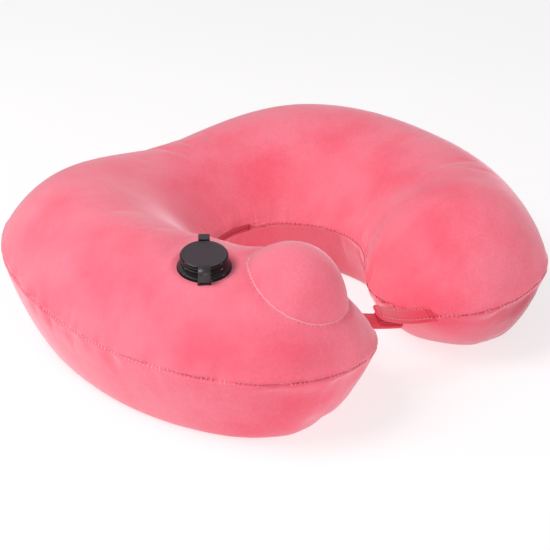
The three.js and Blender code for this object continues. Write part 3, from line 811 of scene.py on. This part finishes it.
def tube(path, radius, sides=6):
    """Points and faces of a closed tube along a path, with pinched ends."""
    path = np.asarray(path, float)
    ahead = np.gradient(path, axis=0)
    ahead /= np.linalg.norm(ahead, axis=1, keepdims=True)
    guide = np.array([0, 0, 1.0]) if abs(ahead[:, 2]).max() < 0.95 else np.array([1.0, 0, 0])
    first = np.cross(ahead, guide)
    first /= np.linalg.norm(first, axis=1, keepdims=True)
    second = np.cross(ahead, first)
    turns = np.linspace(0, 2 * math.pi, sides, endpoint=False)
    size = np.full(len(path), radius)
    size[[0, -1]] *= 0.45
    rings = path[:, None] + size[:, None, None] * (
        np.cos(turns)[None, :, None] * first[:, None] + np.sin(turns)[None, :, None] * second[:, None]
    )
    return rings.reshape(-1, 3), tube_faces(len(path), sides)


def gathered(parts):
    """Joins (points, faces) pairs into one pair."""
    points, faces, offset = [], [], 0
    for some, their_faces in parts:
        points.append(some)
        faces.extend(tuple(i + offset for i in face) for face in their_faces)
        offset += len(some)
    return np.concatenate(points), faces


def on_cloth(surface, points, lift):
    """The points moved onto the cloth and lifted off it a little."""
    moved = []
    for point in points:
        place, normal, _, _ = surface.find_nearest(Vector(point))
        moved.append(place + normal * lift)
    return np.array(moved)


def point_along(line, length, at):
    """The point of a line at a distance along it."""
    return np.array([np.interp(at, length, line[:, k]) for k in range(3)])


def stitch_rungs(name, surface, line, spacing, half, radius, seed, look="thread"):
    """Overlock stitches: short threads across a seam at an even spacing. Sizes are in millimetres."""
    spacing, half, radius = spacing * MM, half * MM, radius * MM
    length = arc_length(line)
    rng = np.random.default_rng(seed)
    parts = []
    for at in np.arange(spacing, length[-1] - spacing, spacing):
        here, ahead = point_along(line, length, at), point_along(line, length, at + 0.5 * MM)
        ahead = (ahead - here) / np.linalg.norm(ahead - here)
        normal = surface.find_nearest(Vector(here))[1]
        side = np.cross(ahead, np.array(normal))
        side /= np.linalg.norm(side)
        slant = ahead * rng.uniform(-0.3, 0.3)
        reach = half * rng.uniform(0.8, 1.15)
        path = [here + (side + slant) * reach * t for t in (-1, -0.55, 0, 0.55, 1)]
        path = on_cloth(surface, path, radius * 0.4)
        steps = np.linalg.norm(np.diff(path, axis=0), axis=1)
        # Where the cloth folds, points can land on one spot or far apart, and that thread is left out.
        if steps.min() > 0.05 * reach and steps.sum() < 3 * reach:
            parts.append(tube(path, radius))
    piece = mesh_object(name, *gathered(parts))
    dress(piece, look)
    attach(piece, "root")


def stitch_outer_seam(surface, line):
    stitch_rungs("outer_seam_stitches", surface, line, spacing=2.7, half=1.5, radius=0.27, seed=7)


def stitch_neck_seam(surface, line):
    """Deep pink stitches on either side of the zip, and a paler row below the seam at the back."""
    angle = np.degrees(np.arctan2(line[:, 0], line[:, 1] - NECK[1]))
    spans = {"arm_a": angle < ZIP_FROM - 4, "arm_b": angle > ZIP_TO + 9}
    for side, span in spans.items():
        name = "neck_seam_stitches_" + side
        stitch_rungs(name, surface, line[span], spacing=3, half=1, radius=0.28, seed=8, look="deep_thread")
    back = line[spans["arm_b"] & (angle < 90)] - [0, 0, 1.9 * MM]
    stitch_rungs("neck_seam_topstitches", surface, back, spacing=3, half=0.6, radius=0.24, seed=12)


# ---- Valve ------------------------------------------------------------------------------------------------


def lathe(profile, segments=96):
    """Points and faces of a body of revolution about Z, from a closed profile of (radius, height)."""
    turns = np.linspace(0, 2 * math.pi, segments, endpoint=False)
    profile = np.array(profile, float)
    points = np.stack([
        profile[None, :, 0] * np.cos(turns)[:, None],
        profile[None, :, 0] * np.sin(turns)[:, None],
        np.broadcast_to(profile[None, :, 1], (segments, len(profile))),
    ], -1).reshape(-1, 3)
    return points, ring_faces(segments, len(profile), closed=True)


def rounded(profile, radius):
    """A closed profile with every corner off the axis rounded, for moulded edges."""
    steps = 3
    profile = np.array(profile, float)
    made = []
    for i, corner in enumerate(profile):
        before, after = profile[i - 1] - corner, profile[(i + 1) % len(profile)] - corner
        if corner[0] < 1e-6:
            made.append(corner)
            continue
        reach = min(radius, 0.45 * np.linalg.norm(before), 0.45 * np.linalg.norm(after))
        a = corner + before / np.linalg.norm(before) * reach
        b = corner + after / np.linalg.norm(after) * reach
        for t in np.linspace(0, 1, steps + 1):
            made.append((1 - t) ** 2 * a + 2 * t * (1 - t) * corner + t**2 * b)
    return made


def bar(low, high, bevel):
    """A box with rounded edges, as points and faces."""
    mesh = bmesh.new()
    bmesh.ops.create_cube(mesh, size=1)
    low, high = np.array(low, float), np.array(high, float)
    for vertex in mesh.verts:
        vertex.co = Vector((low + high) / 2 + np.array(vertex.co) * (high - low))
    bmesh.ops.bevel(mesh, geom=mesh.edges[:], offset=bevel, segments=3, affect="EDGES", profile=0.5)
    mesh.verts.index_update()
    points = np.array([v.co[:] for v in mesh.verts])
    faces = [tuple(v.index for v in face.verts) for face in mesh.faces]
    mesh.free()
    return points, faces


def make_moulding(body, node, parts):
    """A black moulded piece of the valve; its faces on top are matt, with a lighter grey that is a painted
    reflection of the soft light, and the rest is glossy.
    """
    facing_up = 0.8
    points, faces = gathered(parts)
    piece = mesh_object(node + "_moulding", out_of(VALVE, points), faces)
    piece.data.materials.append(LOOKS["black_gloss"])
    piece.data.materials.append(LOOKS["black_matt"])
    for face in piece.data.polygons:
        if face.normal.dot(axis_of(VALVE)) > facing_up:
            face.material_index = 1
    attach(piece, body)
    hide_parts(node)


def make_tongue(name, path, width, thickness):
    """A moulded tongue along a path of (x, z) in the valve's frame; it runs from its parent's moulding at
    its start to its child's at its end.
    """
    path = np.array(path, float)
    length = arc_length(path)
    fine = np.linspace(0, length[-1], 29)
    path = np.stack([np.interp(fine, length, path[:, k]) for k in range(2)], 1)
    for _ in range(6):
        path[1:-1] = (path[:-2] + 2 * path[1:-1] + path[2:]) / 4
    ahead = np.gradient(path, axis=0)
    ahead /= np.linalg.norm(ahead, axis=1, keepdims=True)
    out = np.stack([-ahead[:, 1], ahead[:, 0]], 1)
    half, thick, soft = width / 2, thickness / 2, 0.35
    section = [
        (-half, -thick + soft), (-half + soft, -thick), (half - soft, -thick), (half, -thick + soft),
        (half, thick - soft), (half - soft, thick), (-half + soft, thick), (-half, thick - soft),
    ]
    points = []
    for centre, normal in zip(path, out):
        for y, off in section:
            points.append((centre[0] + normal[0] * off, y, centre[1] + normal[1] * off))
    strip = mesh_object(name, out_of(VALVE, points), tube_faces(len(path), len(section)))
    strip.data.materials.append(LOOKS["black_satin"])
    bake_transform(strip)


def make_valve():
    """The valve's three mouldings and its two tongues. Each profile is a list of (radius, height)."""
    flange = rounded([
        (7.5, -13), (THROAT_RADIUS, -13), (THROAT_RADIUS, 0), (FLANGE_RADIUS, 0), (FLANGE_RADIUS, 0.3),
        (15.4, 1.6), (14.3, 1.7), (13.8, 2.8), (7.5, 2.8),
    ], 0.25)
    lug = bar([14.4, -4, 0.1], [18.9, 4, 1.4], 0.4)
    make_moulding("root", "valve_flange", [lathe(flange), lug])
    plug = rounded([
        (4.2, -3), (6.5, -3), (7.1, 0), (7.1, 3.1), (15.1, 3.1), (14.2, 4.9), (13.8, 5.4), (5.6, 5.4),
        (5.6, 6.3), (4.2, 6.3),
    ], 0.25)
    make_moulding("valve_plug", "valve_plug", [lathe(plug)])
    cap = rounded([
        (0, 4.4), (3.8, 4.4), (3.8, 6.7), (14.2, 6.7), (14.2, 8.5), (13.4, 9.3), (12.7, 9.35), (12.2, 9.1),
        (0, 9.2),
    ], 0.45)
    tab = bar([-18.5, -3.4, 8.5], [-12.6, 3.4, 10.6], 0.6)
    make_moulding("valve_cap", "valve_cap", [lathe(cap), tab])
    plug_tongue = [(17.4, 0.9), (17.3, 2.2), (16.9, 3.4), (15.8, 4.1), (14.2, 4.2)]
    make_tongue("valve_plug_tongue", plug_tongue, 7, 1.3)
    cap_tongue = [(18.6, 2.4), (18.6, 4.6), (18.2, 6.8), (17.0, 8.4), (15.0, 9.1), (12.6, 9.2)]
    make_tongue("valve_cap_tongue", cap_tongue, 7.2, 1.4)


# ---- Straps -----------------------------------------------------------------------------------------------


STRAP_ROWS = 60
STRAP_COLUMNS = 18


class Strap:
    """A doubled strip of velour along X in the straps' frame, from its sewn root to its free end.

    It sags between the two and lifts at its free end. Sizes are in millimetres, and low is the height of
    its underside at the root.
    """

    def __init__(self, body, root, end, low, sag, lift):
        self.body, self.root, self.low, self.sag, self.lift = body, root, low, sag, lift
        self.length = abs(end - root)
        self.side = np.sign(end - root)

    def centre(self, run):
        """The middle line's (x, z) at a distance from the root."""
        share = run / self.length
        sag = self.sag * np.sin(math.pi * share) ** 1.5
        return self.root + self.side * run, self.low + STRAP_THICKNESS / 2 - sag + self.lift * share**3

    def half_width(self, from_end):
        """Half the strap's width, which rounds over at its free end."""
        half = STRAP_WIDTH / 2
        if from_end < STRAP_CORNER:
            half -= STRAP_CORNER * (1 - math.sqrt(max(1 - (1 - from_end / STRAP_CORNER) ** 2, 0.001)))
        return half

    def cross_section(self, run):
        """The top and the underside of the strap across one row, with a sewn line sunk along its edges."""
        from_end = self.length - run
        half = self.half_width(from_end)
        x, z = self.centre(run)
        end_edge = min(1, from_end / 1.6 + 0.02) ** 0.5
        top, under = [], []
        for j in range(STRAP_COLUMNS + 1):
            v = -math.cos(math.pi * j / STRAP_COLUMNS)
            edge = math.sqrt(max(1 - v * v, 0)) ** 0.5
            swell = STRAP_THICKNESS / 2 * edge * end_edge
            sewn_sides = 0.5 * bell(abs(v), 0.7, 0.1) * (from_end > 1.8)
            sewn_end = 0.5 * bell(from_end, 2.6, 0.7) * (abs(v) < 0.7)
            top.append((x, v * half, z + swell - (sewn_sides + sewn_end)))
            under.append((x, v * half, z - swell))
        return top, under

    def make_fabric(self):
        """The strap's cloth; its rows crowd together at both ends."""
        rows = []
        for i in range(STRAP_ROWS + 1):
            rows.append(self.cross_section(self.length * (1 - math.cos(math.pi * i / STRAP_ROWS)) / 2))
        points = np.array([top for top, _ in rows] + [under for _, under in rows], float).reshape(-1, 3)
        faces = slab_faces(STRAP_ROWS + 1, STRAP_COLUMNS + 1)
        fabric = mesh_object(self.body + "_fabric", out_of(STRAPS, points), faces)
        dress(fabric, "strap_velour")
        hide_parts(self.body)
        self.hold(fabric)

    def hold(self, piece):
        """Bakes the piece's placement into its mesh."""
        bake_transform(piece)

    def lay_threads(self, name, marks, look):
        """Lays short threads on the strap; each mark is a pair of (run, y)."""
        parts = []
        for (run_a, y_a), (run_b, y_b) in marks:
            path = []
            for t in np.linspace(0, 1, 5):
                run, y = run_a + (run_b - run_a) * t, y_a + (y_b - y_a) * t
                x, z = self.centre(run)
                edge = math.sqrt(1 - (y / (STRAP_WIDTH / 2)) ** 2) ** 0.5
                path.append((x, y, z + STRAP_THICKNESS / 2 * edge - 0.25 + 0.2 * math.sin(math.pi * t)))
            parts.append(tube(out_of(STRAPS, path), 0.26 * MM))
        piece = mesh_object(name, *gathered(parts))
        dress(piece, look)
        self.hold(piece)

    def make_stitches(self):
        """A row of stitches along each edge, and two zigzags where the strap is sewn down."""
        rows = [(run, y) for y in (-4.4, 4.4) for run in np.arange(3, self.length - 4, 2.6)]
        edges = [((run, y), (run + 1.6, y)) for run, y in rows]
        zigzags = []
        for shift in (2.0, 4.4):
            zigzag = [(shift + 1.1 * (-1) ** k, -4.2 + 1.2 * k) for k in range(8)]
            zigzags += list(zip(zigzag, zigzag[1:]))
        self.lay_threads(self.body + "_stitches", edges, "thread")
        self.lay_threads(self.body + "_stitches_zigzag", zigzags, "deep_thread")


def make_straps():
    """Arm A's strap passes under arm B's, whose stitches show."""
    Strap("strap_a", root=-31, end=3.4, low=-4.1, sag=0.6, lift=0).make_fabric()
    upper = Strap("strap_b", root=25, end=-19.4, low=1.2, sag=2.1, lift=2.6)
    upper.make_fabric()
    upper.make_stitches()


# ---- Tab at the zip's end ---------------------------------------------------------------------------------


TAB_ROWS = 9
TAB_COLUMNS = 17


def tab_frame():
    """The end tab's centre on the neck wall, and the direction along the seam there."""
    low, high = (np.array(corner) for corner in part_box("zip_end_tab"))
    centre = (low + high) / 2
    centre[2] = NECK[2] - TAB_DROP * MM
    out = centre - NECK
    out[2] = 0
    out /= np.linalg.norm(out)
    return centre, np.cross([0, 0, 1], out)


def make_end_tab(surface):
    """A small rectangle of velour sewn over the end of the zip, with a stitched outline."""
    centre, along_seam = tab_frame()
    front, back = [], []
    for v in np.linspace(-1, 1, TAB_ROWS):
        for u in np.linspace(-1, 1, TAB_COLUMNS):
            upwards = np.array([0, 0, v * TAB_HALF_HEIGHT * MM])
            flat = centre + along_seam * u * TAB_HALF_LENGTH * MM + upwards
            rounded_edge = (max(abs(u), abs(v)) < 0.99) * 0.75 + 0.15
            place, normal, _, _ = surface.find_nearest(Vector(flat))
            front.append(place + normal * rounded_edge * MM)
            back.append(place - normal * 0.6 * MM)
    points = np.array(front + back, float)
    tab = mesh_object("zip_tab_fabric", points, slab_faces(TAB_ROWS, TAB_COLUMNS))
    dress(tab, "velour")
    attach(tab, "root")
    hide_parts("zip_end_tab")
    tab_surface = BVHTree.FromObject(tab, bpy.context.evaluated_depsgraph_get())
    stitch_tab_outline(tab_surface, centre, along_seam)


def stitch_tab_outline(tab_surface, centre, along_seam):
    """Short threads laid end to end round a rectangle just inside the tab's edge."""
    outline = []
    for u, v in [(-1, -1), (1, -1), (1, 1), (-1, 1), (-1, -1)]:
        outline.append(centre + along_seam * u * 6.1 * MM + np.array([0, 0, v * 2.3 * MM]))
    threads = []
    for start, end in zip(outline, outline[1:]):
        count = max(2, int(np.linalg.norm(end - start) / (1.7 * MM)))
        for k in range(count):
            path = [start + (end - start) * (k + t) / count for t in (0.12, 0.5, 0.88)]
            threads.append(tube(on_cloth(tab_surface, path, 0.12 * MM), 0.22 * MM))
    stitches = mesh_object("zip_tab_stitches", *gathered(threads))
    dress(stitches, "thread")
    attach(stitches, "root")


# ---- Pieces that keep their CAD shape ---------------------------------------------------------------------

CAD_LOOKS = {
    "film": ["bladder_upper_film", "bladder_lower_film", "pump_bulb", "pump_well", "valve_weld_ring"],
    "black_matt": ["pump_intake_valve", "pump_outlet_valve"],
    "silicone": ["pump_intake_flap", "pump_outlet_flap", "valve_membrane"],
    "zip_tape": ["zip_tape_upper", "zip_tape_lower", "loop_patch", "hook_patch"],
    "zip_coil": ["zip_teeth_upper", "zip_teeth_lower", "zip_top_stop", "zip_bottom_stop"],
    "zip_metal": ["zip_slider", "zip_puller"],
}


def dress_frame():
    """Gives each solid that keeps its CAD shape its material."""
    for look, nodes in CAD_LOOKS.items():
        for node in nodes:
            dress(frame["nodes"][node], look)


make_camera()
make_stage()
surface, neck_seam, outer_seam = make_cover()
rim = make_dome(surface)
make_dome_seam(surface, rim)
make_foam()
stitch_outer_seam(surface, outer_seam.points)
stitch_neck_seam(surface, neck_seam.points)
make_valve()
make_straps()
make_end_tab(surface)
dress_frame()
